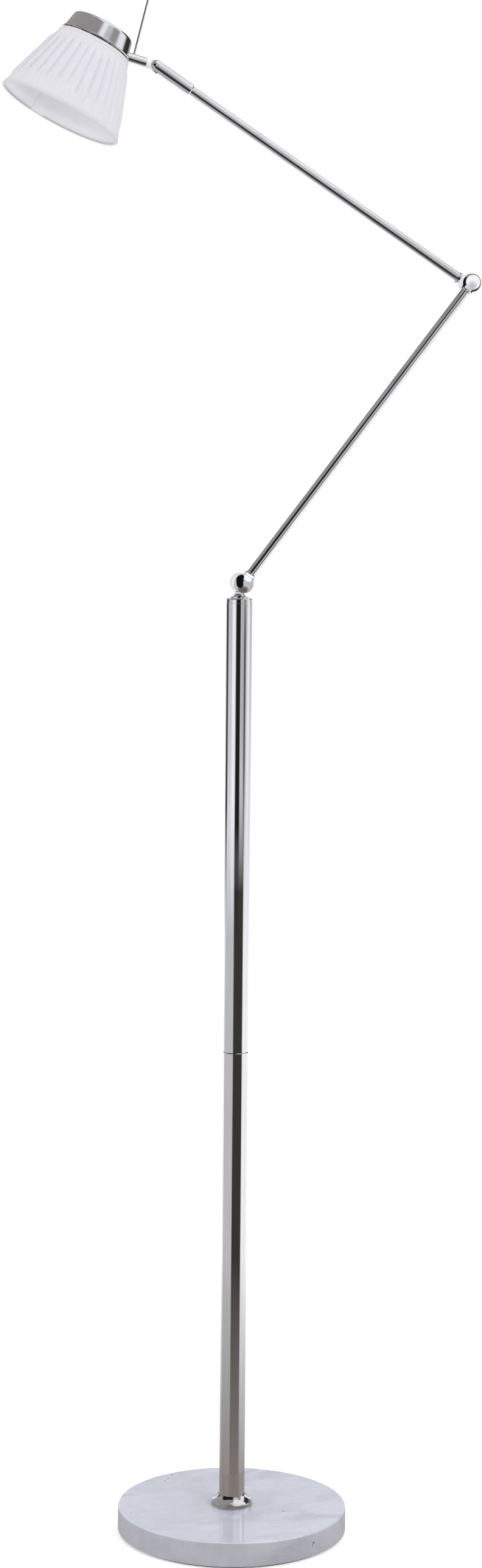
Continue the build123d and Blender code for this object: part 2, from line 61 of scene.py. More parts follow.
def wavesPerMm(size):  # scale of a Wave texture with this period, which has its own factor of 20
    return 1000 / size * 2 * math.pi / 20


def addNode(tree, kind, inputs=None, out=None, stops=None, **settings):
    # one node; an input is a value or another node's output, and what comes back is its own output
    node = tree.nodes.new("ShaderNode" + kind)
    for name, value in settings.items():
        setattr(node, name, value)
    for name, value in (inputs or {}).items():
        entry = next(socket for socket in node.inputs if name in (socket.identifier, socket.name))
        if isinstance(value, bpy.types.NodeSocket):
            tree.links.new(value, entry)
        else:
            entry.default_value = value
    for index, (place, colour) in enumerate(stops or []):
        marks = node.color_ramp.elements
        mark = marks[index] if index < 2 else marks.new(place)
        mark.position = place
        mark.color = colour
    found = (socket for socket in node.outputs if out in (None, socket.identifier, socket.name))
    return next(found, None)


def newFinish(name):
    finish = bpy.data.materials.new(name)
    finish.use_nodes = True
    finish.node_tree.nodes.clear()
    return finish, finish.node_tree


def closeFinish(tree, shader):  # the Principled shader with these sockets, and the output
    surface = addNode(tree, "BsdfPrincipled", shader)
    addNode(tree, "OutputMaterial", {"Surface": surface})


def grey(level):
    return (level, level, level, 1.0)


# Camera at the photograph's viewing angle

cameraView = {
    "turn": 14.0,  # degrees between the arms' plane and the picture
    "distance": 3.330,  # metres from the pole
    "aside": 0.00346,  # metres to the picture's right
    "height": 1.1749,
    "lookDown": 5.993,  # degrees, as is the roll
    "roll": 0.493,
    "lens": 71.606,  # millimetres, as is the sensor's height
    "sensor": 36.0,
}

pictureTurn = math.radians(cameraView["turn"])
pictureRight = Vector((math.cos(pictureTurn), -math.sin(pictureTurn), 0))
pictureAway = Vector((math.sin(pictureTurn), math.cos(pictureTurn), 0))


def inPicture(right, away, up):  # a point given along the picture's own directions
    return pictureRight * right + pictureAway * away + Vector((0, 0, up))


def makeCamera():
    optics = bpy.data.cameras.new("photoCamera")
    optics.sensor_fit = "VERTICAL"
    optics.sensor_height = cameraView["sensor"]
    optics.lens = cameraView["lens"]
    camera = bpy.data.objects.new("photoCamera", optics)
    scene.collection.objects.link(camera)
    place = inPicture(cameraView["aside"], -cameraView["distance"], cameraView["height"])
    heading = Matrix.Rotation(-pictureTurn, 4, "Z")
    tilt = Matrix.Rotation(math.radians(90 - cameraView["lookDown"]), 4, "X")
    roll = Matrix.Rotation(math.radians(cameraView["roll"]), 4, "Z")
    camera.matrix_world = Matrix.Translation(place) @ heading @ tilt @ roll
    scene.camera = camera


makeCamera()
print("camera placed")


# Finishes of the base

marbleLook = {
    "ground": "#DEE1EF",
    "cloud": "#D4D7E5",
    "vein": "#BABDCB",
    "speck": "#7D7C83",
    "cloudMm": 70,
    "veinMm": 95,
    "veinTurn": 0.62,  # radians that the veins lie off the arms' plane
    "veinStretch": 0.3,
    "veinSpread": 130,
    "veinDepth": 0.52,
    "grainMm": 13,  # mottling, with finer grain in it
    "grainTone": (0.94, 1.035),
    "speckMm": 6.5,
    "speckSpread": 40,
    "speckEdge": (0.735, 0.80),
    "topGloss": 0.06,
    "edgeGloss": 0.16,
    "paintedSideTone": "#DBD8D4",  # painted shade: the disc's sides are darker than its top
}


def polishedMarble():  # white marble, sawn and polished: cool clouds, vague veins, few pits, wet gloss
    finish, tree = newFinish("polishedMarble")
    look = marbleLook
    place = addNode(tree, "TexCoord", out="Object")
    cloud = addNode(tree, "TexNoise", {
        "Vector": place, "Scale": perMm(look["cloudMm"]),
        "Detail": 7, "Roughness": 0.6, "Distortion": 0.4})
    ground = addNode(tree, "ValToRGB", {"Fac": cloud}, stops=[
        (0.34, linearColour(look["cloud"])), (0.62, linearColour(look["ground"]))])
    laid = addNode(tree, "Mapping", {
        "Vector": place, "Rotation": (0, 0, look["veinTurn"]), "Scale": (look["veinStretch"], 1, 1)})
    drift = addNode(tree, "TexNoise", {
        "Vector": laid, "Scale": perMm(look["veinMm"]),
        "Detail": 9, "Roughness": 0.6, "Distortion": 0.35})
    line = addNode(tree, "ValToRGB", {"Fac": drift}, stops=[
        (0.46, grey(0)), (0.497, grey(1)), (0.505, grey(1)), (0.56, grey(0))])
    spread = addNode(tree, "TexNoise", {
        "Vector": place, "Scale": perMm(look["veinSpread"]), "Detail": 2})
    patch = addNode(tree, "MapRange", {
        "Value": spread, "From Min": 0.45, "From Max": 0.62,
        "To Min": 0.0, "To Max": look["veinDepth"]})
    veinAmount = addNode(tree, "Math", {"Value": line, "Value_001": patch}, operation="MULTIPLY")
    veined = addNode(tree, "Mix", {
        "Factor_Float": veinAmount, "A_Color": ground, "B_Color": linearColour(look["vein"])},
        out="Result_Color", data_type="RGBA")
    grain = addNode(tree, "TexNoise", {
        "Vector": place, "Scale": perMm(look["grainMm"]),
        "Detail": 7, "Roughness": 0.68, "Distortion": 0.2})
    grainTone = addNode(tree, "MapRange", {
        "Value": grain, "From Min": 0.3, "From Max": 0.7,
        "To Min": look["grainTone"][0], "To Max": look["grainTone"][1]})
    grained = addNode(tree, "Mix", {
        "Factor_Float": 1.0, "A_Color": veined, "B_Color": grainTone},
        out="Result_Color", data_type="RGBA", blend_type="MULTIPLY")
    pits = addNode(tree, "TexNoise", {
        "Vector": place, "Scale": perMm(look["speckMm"]),
        "Detail": 1.5, "Roughness": 0.5, "Distortion": 0.3})
    dot = addNode(tree, "MapRange", {
        "Value": pits, "From Min": look["speckEdge"][0], "From Max": look["speckEdge"][1]})
    group = addNode(tree, "TexNoise", {
        "Vector": place, "Scale": perMm(look["speckSpread"]), "Detail": 1})
    chosen = addNode(tree, "MapRange", {"Value": group, "From Min": 0.46, "From Max": 0.54})
    speck = addNode(tree, "Math", {"Value": dot, "Value_001": chosen}, operation="MULTIPLY")
    coloured = addNode(tree, "Mix", {
        "Factor_Float": speck, "A_Color": grained, "B_Color": linearColour(look["speck"])},
        out="Result_Color", data_type="RGBA")
    normal = addNode(tree, "NewGeometry", out="Normal")
    facing = addNode(tree, "SeparateXYZ", {"Vector": normal}, out="Z")
    gloss = addNode(tree, "MapRange", {
        "Value": facing, "From Min": 0.5, "From Max": 0.95,
        "To Min": look["edgeGloss"], "To Max": look["topGloss"]})
    # painted shade: darkens the sides of the disc by the way they face
    sideShade = addNode(tree, "ValToRGB", {"Fac": facing}, stops=[
        (0.2, linearColour(look["paintedSideTone"])), (0.9, grey(1))])
    shown = addNode(tree, "Mix", {
        "Factor_Float": 1.0, "A_Color": coloured, "B_Color": sideShade},
        out="Result_Color", data_type="RGBA", blend_type="MULTIPLY")
    pit = addNode(tree, "Math", {"Value": grain, "Value_001": speck}, operation="SUBTRACT")
    relief = addNode(tree, "Bump", {"Height": pit, "Strength": 0.1, "Distance": 0.0003})
    closeFinish(tree, {
        "Base Color": shown, "Roughness": gloss, "IOR": 1.55, "Normal": relief,
        "Subsurface Weight": 0.08, "Subsurface Radius": (0.004, 0.0035, 0.003),
        "Subsurface Scale": 1.0})
    return finish


def woolFelt():  # pressed wool: matt, dark, a haze of loose fibres
    finish, tree = newFinish("woolFelt")
    place = addNode(tree, "TexCoord", out="Object")
    fibre = addNode(tree, "TexNoise", {
        "Vector": place, "Scale": perMm(0.7), "Detail": 5, "Distortion": 2.0})
    tone = addNode(tree, "ValToRGB", {"Fac": fibre}, stops=[
        (0.3, linearColour("#26262A")), (0.7, linearColour("#3C3C41"))])
    relief = addNode(tree, "Bump", {"Height": fibre, "Strength": 0.5, "Distance": 0.0004})
    closeFinish(tree, {"Base Color": tone, "Roughness": 0.95, "Normal": relief,
        "Sheen Weight": 0.35, "Sheen Roughness": 0.6})
    return finish


def mouldedRubber():  # black EPDM from a mould: dull skin with a fine grain
    finish, tree = newFinish("mouldedRubber")
    place = addNode(tree, "TexCoord", out="Object")
    skin = addNode(tree, "TexNoise", {"Vector": place, "Scale": perMm(0.5), "Detail": 3})
    tone = addNode(tree, "ValToRGB", {"Fac": skin}, stops=[
        (0.3, linearColour("#161617")), (0.7, linearColour("#222224"))])
    relief = addNode(tree, "Bump", {"Height": skin, "Strength": 0.2, "Distance": 0.0001})
    closeFinish(tree, {"Base Color": tone, "Roughness": 0.58, "IOR": 1.52, "Normal": relief})
    return finish


# Finishes of the metal

chromeLook = {
    "colour": "#C6C7C9",
    "haze": "#BDBEC1",
    "hazeMm": 24,
    "swirlMm": 0.8,  # polishing marks are finer; drawn this coarse so that they show
    "gloss": (0.025, 0.065),
}


def polishedChrome():  # chromium over buffed steel: a hard mirror, a breath of haze, faint buffing marks
    finish, tree = newFinish("polishedChrome")
    look = chromeLook
    place = addNode(tree, "TexCoord", out="Object")
    haze = addNode(tree, "TexNoise", {"Vector": place, "Scale": perMm(look["hazeMm"]), "Detail": 4})
    tone = addNode(tree, "ValToRGB", {"Fac": haze}, stops=[
        (0.35, linearColour(look["haze"])), (0.6, linearColour(look["colour"]))])
    gloss = addNode(tree, "MapRange", {
        "Value": haze, "From Min": 0.35, "From Max": 0.65,
        "To Min": look["gloss"][1], "To Max": look["gloss"][0]})
    swirl = addNode(tree, "TexNoise", {
        "Vector": place, "Scale": perMm(look["swirlMm"]), "Detail": 4, "Distortion": 3.0})
    relief = addNode(tree, "Bump", {"Height": swirl, "Strength": 0.02, "Distance": 0.00005})
    closeFinish(tree, {"Base Color": tone, "Metallic": 1.0, "Roughness": gloss, "Normal": relief})
    return finish


nickelLook = {
    "colour": "#C9C9CA",
    "drawn": "#C0C0C1",
    "lineMm": 0.9,  # drawing lines along the tube are finer; this coarse so that they show
    "lineStretch": 0.012,
    "hazeMm": 60,
    "gloss": (0.02, 0.06),
}


def drawnNickelTube():  # drawn tube, polished and nickel plated: a mirror with faint lines along it
    finish, tree = newFinish("drawnNickelTube")
    look = nickelLook
    place = addNode(tree, "TexCoord", out="Object")
    stretched = addNode(tree, "Mapping", {"Vector": place, "Scale": (1, 1, look["lineStretch"])})
    lines = addNode(tree, "TexNoise", {
        "Vector": stretched, "Scale": perMm(look["lineMm"]), "Detail": 4})
    tone = addNode(tree, "ValToRGB", {"Fac": lines}, stops=[
        (0.35, linearColour(look["drawn"])), (0.6, linearColour(look["colour"]))])
    haze = addNode(tree, "TexNoise", {"Vector": place, "Scale": perMm(look["hazeMm"]), "Detail": 3})
    gloss = addNode(tree, "MapRange", {
        "Value": haze, "From Min": 0.35, "From Max": 0.65,
        "To Min": look["gloss"][1], "To Max": look["gloss"][0]})
    relief = addNode(tree, "Bump", {"Height": lines, "Strength": 0.03, "Distance": 0.00005})
    closeFinish(tree, {"Base Color": tone, "Metallic": 1.0, "Roughness": gloss, "Normal": relief})
    return finish


def zincPlatedSteel():  # bright zinc over turned steel: grey, softly blotched, half dull
    finish, tree = newFinish("zincPlatedSteel")
    place = addNode(tree, "TexCoord", out="Object")
    blotch = addNode(tree, "TexNoise", {"Vector": place, "Scale": perMm(5), "Detail": 5})
    tone = addNode(tree, "ValToRGB", {"Fac": blotch}, stops=[
        (0.3, linearColour("#A4A7AB")), (0.7, linearColour("#C3C6CB"))])
    gloss = addNode(tree, "MapRange", {
        "Value": blotch, "From Min": 0.3, "From Max": 0.7, "To Min": 0.42, "To Max": 0.28})
    relief = addNode(tree, "Bump", {"Height": blotch, "Strength": 0.1, "Distance": 0.0001})
    closeFinish(tree, {"Base Color": tone, "Metallic": 1.0, "Roughness": gloss, "Normal": relief})
    return finish


def brightBoltSteel():  # machined stainless screw: fine turning rings that catch the light
    finish, tree = newFinish("brightBoltSteel")
    place = addNode(tree, "TexCoord", out="Object")
    rings = addNode(tree, "TexNoise", {"Vector": place, "Scale": perMm(0.4), "Detail": 3})
    tone = addNode(tree, "ValToRGB", {"Fac": rings}, stops=[
        (0.3, linearColour("#B2B1AE")), (0.7, linearColour("#CFCDC9"))])
    relief = addNode(tree, "Bump", {"Height": rings, "Strength": 0.08, "Distance": 0.00005})
    closeFinish(tree, {"Base Color": tone, "Metallic": 1.0, "Roughness": 0.22, "Normal": relief})
    return finish


# Finishes of plastic, ceramic, glass and the shade

def naturalNylon():  # turned nylon washer: milky and waxy, a little light goes in
    finish, tree = newFinish("naturalNylon")
    place = addNode(tree, "TexCoord", out="Object")
    wax = addNode(tree, "TexNoise", {"Vector": place, "Scale": perMm(2), "Detail": 3})
    tone = addNode(tree, "ValToRGB", {"Fac": wax}, stops=[
        (0.3, linearColour("#DEDCD3")), (0.7, linearColour("#EAE8E0"))])
    closeFinish(tree, {"Base Color": tone, "Roughness": 0.42, "IOR": 1.53,
        "Subsurface Weight": 0.15, "Subsurface Radius": (0.001, 0.001, 0.001), "Subsurface Scale": 1.0})
    return finish


def whiteNylon():  # moulded white nylon: even, satin, faintly rippled
    finish, tree = newFinish("whiteNylon")
    place = addNode(tree, "TexCoord", out="Object")
    ripple = addNode(tree, "TexNoise", {"Vector": place, "Scale": perMm(1.2), "Detail": 3})
    tone = addNode(tree, "ValToRGB", {"Fac": ripple}, stops=[
        (0.3, linearColour("#F2F2F3")), (0.7, linearColour("#F6F6F7"))])
    relief = addNode(tree, "Bump", {"Height": ripple, "Strength": 0.03, "Distance": 0.0001})
    closeFinish(tree, {"Base Color": tone, "Roughness": 0.36, "IOR": 1.53, "Normal": relief})
    return finish


def glazedPorcelain():  # fired steatite under a thin glaze: warm white, fine specks, soft shine
    finish, tree = newFinish("glazedPorcelain")
    place = addNode(tree, "TexCoord", out="Object")
    body = addNode(tree, "TexNoise", {"Vector": place, "Scale": perMm(0.9), "Detail": 4})
    tone = addNode(tree, "ValToRGB", {"Fac": body}, stops=[
        (0.28, linearColour("#DDD8CB")), (0.5, linearColour("#EFEBE1"))])
    relief = addNode(tree, "Bump", {"Height": body, "Strength": 0.06, "Distance": 0.0001})
    closeFinish(tree, {"Base Color": tone, "Roughness": 0.2, "IOR": 1.6, "Normal": relief})
    return finish


def quartzGlass():  # drawn quartz tube, sealed by flame: clear with slight ripples
    finish, tree = newFinish("quartzGlass")
    place = addNode(tree, "TexCoord", out="Object")
    ripple = addNode(tree, "TexNoise", {"Vector": place, "Scale": perMm(4), "Detail": 2})
    relief = addNode(tree, "Bump", {"Height": ripple, "Strength": 0.06, "Distance": 0.0002})
    closeFinish(tree, {"Base Color": linearColour("#FCFCFC"), "Roughness": 0.02, "IOR": 1.46,
        "Transmission Weight": 1.0, "Normal": relief})
    return finish


def powderedWire():  # white powder coat baked on wire: satin, slightly orange-peeled
    finish, tree = newFinish("powderedWire")
    place = addNode(tree, "TexCoord", out="Object")
    peel = addNode(tree, "TexNoise", {"Vector": place, "Scale": perMm(0.6), "Detail": 2})
    tone = addNode(tree, "ValToRGB", {"Fac": peel}, stops=[
        (0.3, linearColour("#E6E6E8")), (0.7, linearColour("#F0F0F1"))])
    relief = addNode(tree, "Bump", {"Height": peel, "Strength": 0.15, "Distance": 0.0001})
    closeFinish(tree, {"Base Color": tone, "Roughness": 0.45, "Normal": relief})
    return finish


linerLook = {
    "colour": "#F6F5FA",
    "shadow": "#F1F0F5",
    "clothMm": 1.1,
    "cloudMm": 40,
    "glow": 0.15,  # share of the light that goes into the sheet
    "glowMm": 0.1,  # how far it wanders there before it turns
}


def styreneLiner():  # white styrene sheet on fine cloth: smooth, faintly ribbed, lets light through
    finish, tree = newFinish("styreneLiner")
    place = addNode(tree, "TexCoord", out="UV")
    cloud = addNode(tree, "TexNoise", {
        "Vector": place, "Scale": perMm(linerLook["cloudMm"]), "Detail": 3})
    tone = addNode(tree, "ValToRGB", {"Fac": cloud}, stops=[
        (0.35, linearColour(linerLook["shadow"])), (0.6, linearColour(linerLook["colour"]))])
    threads = addNode(tree, "TexWave", {
        "Vector": place, "Scale": wavesPerMm(linerLook["clothMm"]), "Distortion": 0.4})
    relief = addNode(tree, "Bump", {"Height": threads, "Strength": 0.06, "Distance": 0.00005})
    closeFinish(tree, {"Base Color": tone, "Roughness": 0.5, "IOR": 1.59, "Normal": relief,
        "Subsurface Weight": linerLook["glow"], "Subsurface Radius": (1.0, 1.0, 1.0),
        "Subsurface Scale": linerLook["glowMm"] / 1000})
    return finish


cottonLook = {
    "colour": "#E2E1E7",
    "slub": "#DEDDE3",
    "threadMm": 0.9,  # threads are 0.3 mm apart; drawn this coarse so that they show
    "slubMm": 1.6,
    "slubStretch": 0.06,
    "glow": 0.15,  # share of the light that goes into the cloth
    "glowMm": 0.1,  # how far it wanders there before it turns
}

tapeLook = {
    "colour": "#DDDCE2",
    "slub": "#D9D8DE",
    "threadMm": 0.7,  # drawn coarser than it is, as above
    "slubMm": 1.2,
    "slubStretch": 0.1,
    "glow": 0.1,
    "glowMm": 0.1,
}


def wovenCotton(name, look):  # plain woven cotton: matt threads with slubs, a soft bloom at the edges
    finish, tree = newFinish(name)
    place = addNode(tree, "TexCoord", out="UV")
    stretched = addNode(tree, "Mapping", {"Vector": place, "Scale": (1, look["slubStretch"], 1)})
    slub = addNode(tree, "TexNoise", {"Vector": stretched, "Scale": perMm(look["slubMm"]), "Detail": 4})
    tone = addNode(tree, "ValToRGB", {"Fac": slub}, stops=[
        (0.34, linearColour(look["slub"])), (0.6, linearColour(look["colour"]))])
    warp = addNode(tree, "TexWave", {
        "Vector": place, "Scale": wavesPerMm(look["threadMm"]), "Distortion": 0.6}, bands_direction="X")
    weft = addNode(tree, "TexWave", {
        "Vector": place, "Scale": wavesPerMm(look["threadMm"]), "Distortion": 0.6}, bands_direction="Y")
    weave = addNode(tree, "Math", {"Value": warp, "Value_001": weft}, operation="MULTIPLY")
    relief = addNode(tree, "Bump", {"Height": weave, "Strength": 0.15, "Distance": 0.0001})
    closeFinish(tree, {"Base Color": tone, "Roughness": 0.85, "Normal": relief,
        "Sheen Weight": 0.12, "Sheen Roughness": 0.5,
        "Subsurface Weight": look["glow"], "Subsurface Radius": (1.0, 1.0, 1.0),
        "Subsurface Scale": look["glowMm"] / 1000})
    return finish


finishOfSlot = {
    "marble": polishedMarble(),
    "felt": woolFelt(),
    "rubber": mouldedRubber(),
    "zinc_steel": zincPlatedSteel(),
    "pole_nickel": drawnNickelTube(),
    "chrome": polishedChrome(),
    "bolt_steel": brightBoltSteel(),
    "washer_nylon": naturalNylon(),
    "white_nylon": whiteNylon(),
    "porcelain": glazedPorcelain(),
    "bulb_glass": quartzGlass(),
    "shade_wire": powderedWire(),
    "shade_liner": styreneLiner(),
    "shade_fabric": wovenCotton("wovenCotton", cottonLook),
}
tapeFinish = wovenCotton("cottonTape", tapeLook)

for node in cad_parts.values():
    for holder in node.material_slots:
        holder.material = finishOfSlot[holder.material.name]
print("finishes made:", len(finishOfSlot))


# The shade's own axis, from two turned pieces on it

def middle(node):
    low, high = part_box(node)
    return (low + high) / 2


mouthCentre = middle("shade_bottom_ring")
shadeUp = (middle("lampholder_nipple") - mouthCentre).normalized()
shadeBack = Vector((0, 1, 0))
shadeSide = shadeBack.cross(shadeUp)


def onShade(radius, angle, height):
    outward = shadeSide * math.cos(angle) + shadeBack * math.sin(angle)
    return mouthCentre + outward * radius + shadeUp * height


def turnedPlaces(node):  # height on the shade's axis and distance from it, for each of a node's points
    places = []
    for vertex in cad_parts[node].data.vertices:
        offset = vertex.co - mouthCentre
        height = offset.dot(shadeUp)
        places.append((height, (offset - shadeUp * height).length))
    return places


endShare = 0.02  # share of a solid's height that counts as its end


def coneOf(node):  # heights of a node's two ends on the shade's axis, and its outer radius at each
    places = turnedPlaces(node)
    low = min(height for height, radius in places)
    high = max(height for height, radius in places)
    near = (high - low) * endShare
    return {
        "low": low,
        "high": high,
        "lowRadius": max(radius for height, radius in places if height < low + near),
        "highRadius": max(radius for height, radius in places if height > high - near),
    }


def coneRadius(cone, height):
    share = (height - cone["low"]) / (cone["high"] - cone["low"])
    return cone["lowRadius"] + share * (cone["highRadius"] - cone["lowRadius"])


def smoothStep(value, start, end):
    share = min(max((value - start) / (end - start), 0), 1)
    return share * share * (3 - 2 * share)


def sheetPiece(name, rows, wraps, thick, finish):
    # a sheet from rows of (point, cloth place); if it wraps, each row ends with its first point again
    used = len(rows[0]) - 1 if wraps else len(rows[0])
    points = [point for row in rows for point, cloth in row[:used]]
    faces = []
    cloths = []
    for up in range(len(rows) - 1):
        for along in range(len(rows[0]) - 1):
            corners = ((up, along), (up, along + 1), (up + 1, along + 1), (up + 1, along))
            faces.append([row * used + column % used for row, column in corners])
            cloths += [rows[row][column][1] for row, column in corners]
    mesh = bpy.data.meshes.new(name)
    mesh.from_pydata(points, [], faces)
    cloth = mesh.uv_layers.new(name="cloth")
    for corner, place in zip(cloth.data, cloths):
        corner.uv = place
    mesh.polygons.foreach_set("use_smooth", [True] * len(faces))
    mesh.materials.append(finish)
    piece = bpy.data.objects.new(name, mesh)
    scene.collection.objects.link(piece)
    layer = piece.modifiers.new("thickness", "SOLIDIFY")
    layer.thickness = thick
    layer.offset = 0
    return piece


# Pleated cover

coverCone = coneOf("shade_cover")
linerCone = coneOf("shade_liner")
topBandCone = coneOf("shade_top_band")
hemBandCone = coneOf("shade_bottom_band")

linerRoll = {  # stands here because the cover and its bands lie on the liner
    "steps": 160,
    "rows": 8,
    "thick": 0.0005,
    "overlapMm": 12,
    "seamAngle": 100.5,  # degrees round the shade
    "stepMm": 8,  # length over which the inner end steps in
    "lapLift": 1.05,  # how far it stands in, as a share of the thickness
}

pleatedCover = {
    "pleats": 30,
    "rows": 30,
    "thick": 0.0003,
    "spread": 0.12,  # how unevenly the pleats are spaced, as a share
    "depthChange": 0.4,
    "deepest": 1.2,  # limit of a pleat's depth, as a share
    "lean": 0.014,  # radians that a fold may lean over the height
    "sway": 0.006,
    "swayHalves": 1.5,  # half waves of that sway over the height
    "liftMm": 0.8,  # how far the crests stand out beyond the solid between the bands
    "pressed": 0.92,  # level of the flattened pleats at the bands, as a share of their depth
    "holdMm": 1,  # how far from its edge a band holds the pleats flat
    "hemFadeMm": (5, 15),  # height over which a pleat flattens towards the hem
    "topFadeMm": (2, 9),  # and towards the top band
    "foldUnder": 0.002,  # cloth hidden behind each fold, in metres
    "seed": 11,
}

# one soft knife pleat, as shares of its spacing and depth: up its wide face, round the crest
# and down to the next
pleatLine = [
    (0.00, 0.04), (0.06, 0.12), (0.13, 0.30), (0.23, 0.52), (0.36, 0.72), (0.50, 0.87), (0.63, 0.97),
    (0.74, 1.00), (0.83, 0.96), (0.90, 0.78), (0.95, 0.48), (0.98, 0.20),
]


def pressedRadius(height):  # where the cloth lies flat, near the edges of the shade
    inner = coneRadius(linerCone, height) + pleatedCover["thick"]
    return inner + pleatedCover["pressed"] * (coneRadius(coverCone, height) - inner)


def makeCover():
    sizes = pleatedCover
    chance = random.Random(sizes["seed"])
    count = sizes["pleats"]
    widths = [1 + chance.uniform(-sizes["spread"], sizes["spread"]) for pleat in range(count)]
    edges = [sum(widths[:pleat]) / sum(widths) * 2 * math.pi for pleat in range(count)]
    depths = [1 + chance.uniform(-sizes["depthChange"], sizes["depthChange"]) for pleat in range(count)]
    leans = [chance.uniform(-sizes["lean"], sizes["lean"]) for pleat in range(count)]
    sways = [chance.uniform(-sizes["sway"], sizes["sway"]) for pleat in range(count)]
    phases = [chance.uniform(0, 2 * math.pi) for pleat in range(count)]
    hemFades = [chance.uniform(*sizes["hemFadeMm"]) / 1000 for pleat in range(count)]
    topFades = [chance.uniform(*sizes["topFadeMm"]) / 1000 for pleat in range(count)]

    def edgeAngle(pleat, share):
        turns, which = divmod(pleat, count)
        waver = sways[which] * math.sin(math.pi * sizes["swayHalves"] * share + phases[which])
        return edges[which] + turns * 2 * math.pi + leans[which] * (share - 0.5) + waver

    hold = sizes["holdMm"] / 1000
    hemEdge = hemBandCone["high"]
    topEdge = topBandCone["low"]
    rows = []
    for step in range(sizes["rows"]):
        share = step / (sizes["rows"] - 1)
        height = coverCone["low"] + share * (coverCone["high"] - coverCone["low"])
        inner = coneRadius(linerCone, height) + sizes["thick"]
        room = coneRadius(coverCone, height) - inner
        row = []
        for pleat in range(count):
            start = edgeAngle(pleat, share)
            end = edgeAngle(pleat + 1, share)
            free = smoothStep(height, hemEdge - hold, hemEdge + hemFades[pleat])
            free *= 1 - smoothStep(height, topEdge - topFades[pleat], topEdge + hold)
            depth = room * min(depths[pleat], sizes["deepest"]) + sizes["liftMm"] / 1000
            for along, rise in pleatLine:
                angle = start + along * (end - start)
                radius = free * (inner + rise * depth) + (1 - free) * pressedRadius(height)
                row.append((onShade(radius, angle, height), (angle * linerCone["lowRadius"], height)))
        row.append((row[0][0], (row[0][1][0] + 2 * math.pi * linerCone["lowRadius"], height)))
        rows.append(row)
    cover = sheetPiece("shadeCover", rows, True, sizes["thick"], finishOfSlot["shade_fabric"])
    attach(cover, "head")
    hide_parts("shade_cover")
    return cover


shadeCover = makeCover()
print("pleated cover made")


# Bands: tape that runs under the ends of the pleats and comes out as a roll round the shade's edges

bandTape = {
    "steps": 240,
    "rows": 40,
    "thick": 0.0004,
    "foldMm": 0.3,  # half the tape's thickness where it is turned
    "overMm": 1.3,  # tape inside the top edge
    "insideMm": 1.4,  # tape inside the hem
    "printMm": 0.12,  # how far the pleats print through the tape
    "edgeWanderMm": 0.5,
    "wanderMm": 30,
    "looseShare": (0.25, 0.6),  # where across the tape it stops wandering
    "puckerMm": 0.25,
    "puckerWideMm": 7,
    "puckerDrift": 200,  # how fast the puckers change across the tape
    "seed": 5,
}


def throughPoints(points, count):  # an even number of places on a smooth line through the points
    ends = [points[0]] + points + [points[-1]]
    line = []
    for step in range(count):
        along = step / (count - 1) * (len(points) - 1)
        first = min(int(along), len(points) - 2)
        share = along - first
        before, start, end, after = (Vector(point) for point in ends[first:first + 4])
        line.append(start + 0.5 * share * (end - before + share * (
            2 * before - 5 * start + 4 * end - after + share * (3 * (start - end) + after - before))))
    return line


# how far the tape lies outside the flattened cloth, in millimetres, at shares of the way from its
# hidden edge to the shade's edge
tapeRise = [
    (0.0, -0.5), (0.3, -0.5), (0.55, -0.45), (0.66, -0.1), (0.75, 0.15), (0.86, 0.15), (0.96, -0.3),
]


def tapeOnPleats(hidden, edge):  # (radius, height) points on the outside of the shade
    points = []
    for share, rise in tapeRise:
        height = hidden + share * (edge - hidden)
        points.append((pressedRadius(height) + rise / 1000, height))
    return points


def topBandLine():  # over the top edge, in multiples of the fold
    fold = bandTape["foldMm"] / 1000
    edge = topBandCone["high"]
    inner = coneRadius(linerCone, edge) - linerRoll["thick"]
    outer = pressedRadius(edge)
    return tapeOnPleats(topBandCone["low"], edge) + [
        (outer - fold, edge + fold),
        ((outer + inner) / 2, edge + 2 * fold),
        (inner - fold, edge + fold),
        (inner - 1.5 * fold, edge - bandTape["overMm"] / 1000),
    ]


def hemBandLine():  # round the hem and into the liner, in multiples of the fold
    fold = bandTape["foldMm"] / 1000
    edge = hemBandCone["low"]
    top = edge + bandTape["insideMm"] / 1000
    inner = coneRadius(linerCone, edge) - linerRoll["thick"]
    outer = pressedRadius(edge)
    return tapeOnPleats(hemBandCone["high"], edge) + [
        (outer - 3.5 * fold, edge - fold),
        ((outer + inner) / 2, edge - 1.6 * fold),
        (inner - 0.3 * fold, edge - 1.2 * fold),
        (inner - 0.5 * fold, edge + fold),
        (coneRadius(linerCone, top) - linerRoll["thick"] + 0.6 * fold, top),
    ]


def makeBand(name, node, points):
    sizes = bandTape
    rows = []
    length = 0
    line = throughPoints(points, sizes["rows"])
    for index, (radius, height) in enumerate(line):
        length += (line[index] - line[max(index - 1, 0)]).length
        row = []
        for step in range(sizes["steps"] + 1):
            angle = 2 * math.pi * step / sizes["steps"]
            ring = Vector((math.cos(angle), math.sin(angle), 0)) * points[0][0]
            loose = 1 - smoothStep(index / len(line), *sizes["looseShare"])
            wander = noise.noise(ring * perMm(sizes["wanderMm"]) + Vector((0, 0, sizes["seed"])))
            drift = Vector((0, 0, height * sizes["puckerDrift"]))
            pucker = noise.noise(ring * perMm(sizes["puckerWideMm"]) + drift)
            up = height + wander * loose * sizes["edgeWanderMm"] / 1000
            printed = math.cos(pleatedCover["pleats"] * angle) * loose * sizes["printMm"]
            out = radius + (pucker * loose * sizes["puckerMm"] + printed) / 1000
            row.append((onShade(out, angle, up), (angle * points[0][0], length)))
        rows.append(row)
    band = sheetPiece(name, rows, True, sizes["thick"], tapeFinish)
    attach(band, "head")
    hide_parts(node)
    return band


shadeTopBand = makeBand("shadeTopBand", "shade_top_band", topBandLine())
shadeHemBand = makeBand("shadeHemBand", "shade_bottom_band", hemBandLine())


# Liner: one styrene sheet rolled into a cone, with a glued overlap

